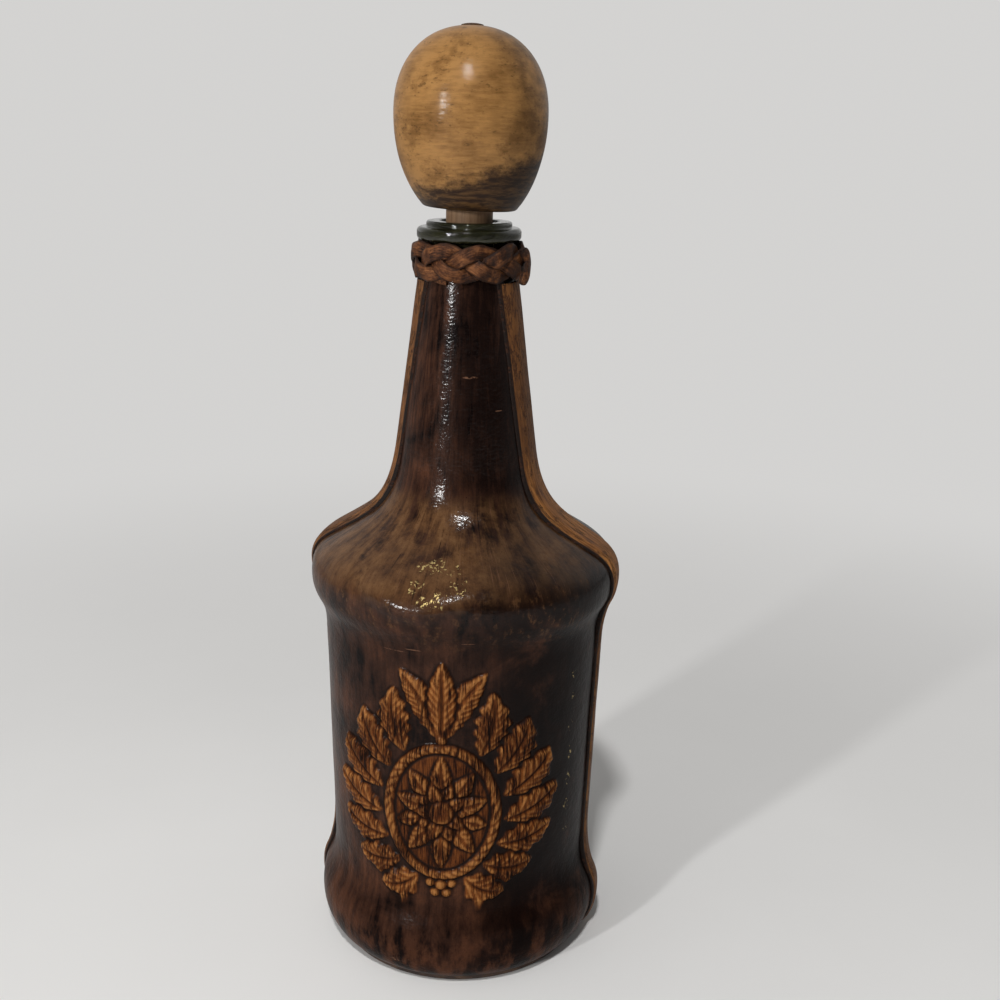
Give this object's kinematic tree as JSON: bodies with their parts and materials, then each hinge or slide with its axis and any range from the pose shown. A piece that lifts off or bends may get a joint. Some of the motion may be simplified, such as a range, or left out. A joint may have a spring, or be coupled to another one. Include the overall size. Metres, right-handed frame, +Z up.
{
  "type": "leather-wrapped decanter",
  "caption": "Round-shouldered glass decanter dressed in moulded leather covers, with side strips, a plaited collar and a wooden egg stopper that lifts out.",
  "frame": {"origin": "middle of the sole's underside, on the surface that the decanter stands on", "axes": "+Z up along the bottle's axis, the moulded front faces -Y, +X to the right seen from the front"},
  "size_m": [0.1024, 0.0996, 0.299],
  "materials": {
    "sole_leather": "dark brown, matt and scuffed",
    "green_glass": "dark olive green, glossy",
    "cover_leather": "black-brown, polished, with rubbed tan relief",
    "strip_leather": "tan, cracked grain, black stained edges",
    "lace_leather": "red-brown, worn",
    "knob_wood": "turned, honey brown, satin varnish",
    "plug_wood": "dark, matt",
    "dowel_wood": "pale beige, plain",
    "cork": "natural cork"
  },
  "bodies": {
    "bottle": {"base_sole": "sole_leather", "glass_bottle": "green_glass", "front_cover": "cover_leather", "back_cover": "cover_leather", "right_strip": "strip_leather", "left_strip": "strip_leather", "collar_lace_1": "lace_leather", "collar_lace_2": "lace_leather", "collar_lace_3": "lace_leather", "collar_knot": "lace_leather"},
    "stopper": {"stopper_knob": "knob_wood", "knob_plug": "plug_wood", "stopper_dowel": "dowel_wood", "stopper_cork": "cork"}
  },
  "joints": [
    {"name": "stopper_lift", "type": "slide", "parent": "bottle", "child": "stopper", "axis": [0, 0, 1], "range_m": [0, 0.04]}
  ]
}
